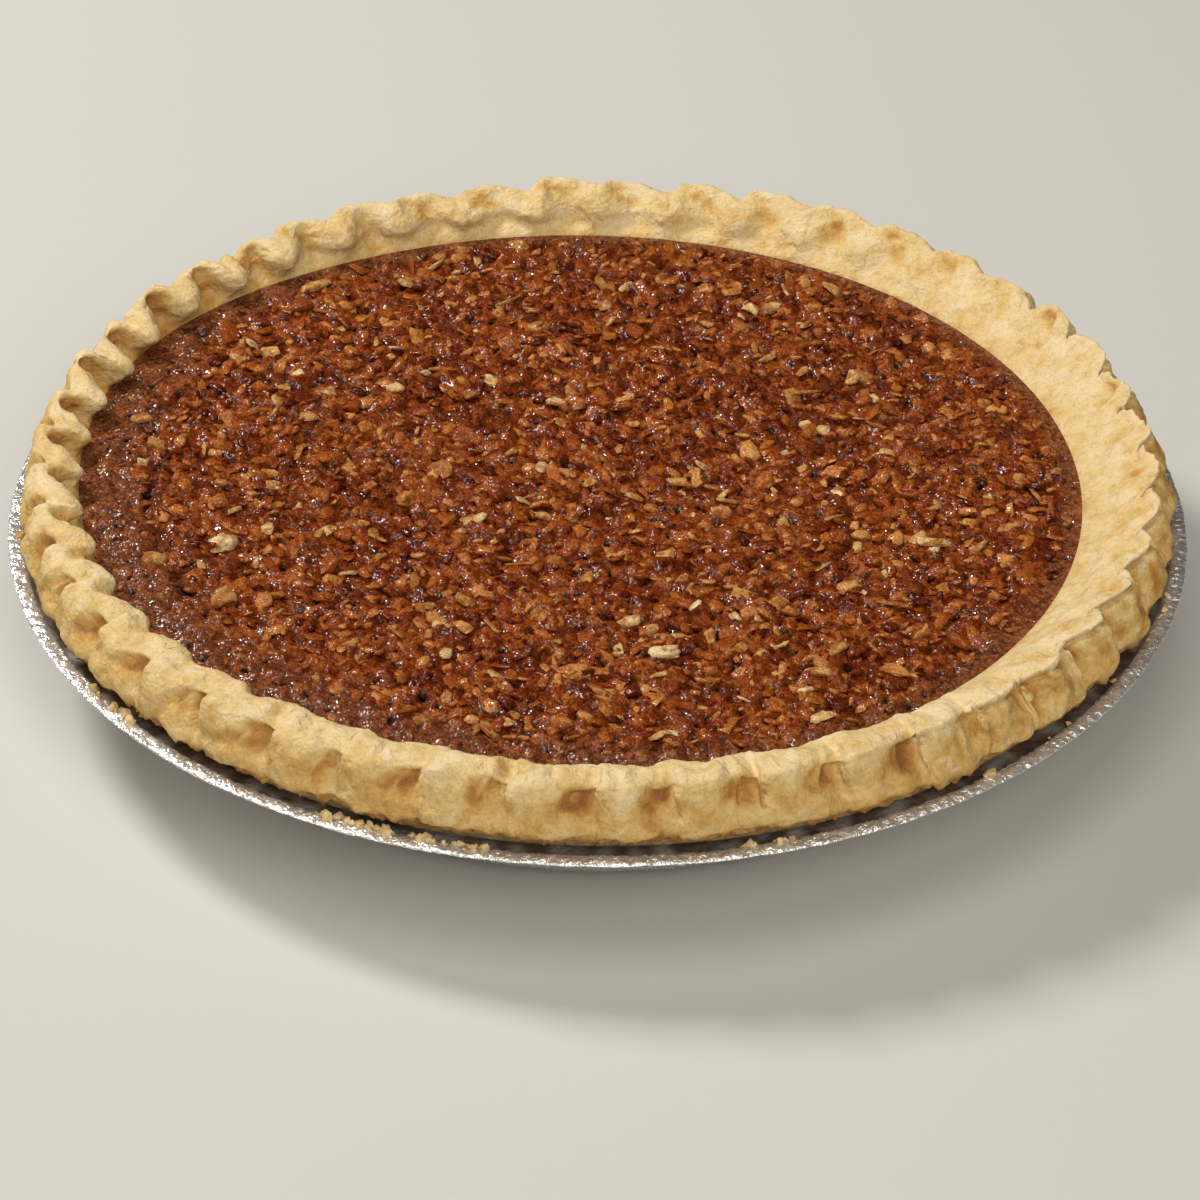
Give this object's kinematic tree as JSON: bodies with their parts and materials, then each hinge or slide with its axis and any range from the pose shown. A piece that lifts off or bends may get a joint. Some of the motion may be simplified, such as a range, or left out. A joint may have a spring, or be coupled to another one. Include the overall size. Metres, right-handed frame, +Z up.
{
  "type": "german chocolate pie",
  "caption": "Round open-topped pie with a fluted pastry edge and a glossy chopped-nut filling, in its own shallow foil tin.",
  "frame": {"origin": "centre of the tin's base, on the surface that it stands on", "axes": "+Z up; the crust's broad smooth side faces +X and its steep lobed side faces -X"},
  "size_m": [0.244, 0.244, 0.0418],
  "materials": {
    "foil": "bright crinkled foil",
    "pastry": "matte baked shortcrust, pale with toasted hollows",
    "caramel_nuts": "glossy red-brown caramel over chopped nuts and coconut"
  },
  "bodies": {
    "root": {"tin": "foil", "crust": "pastry", "filling": "caramel_nuts"}
  },
  "joints": []
}
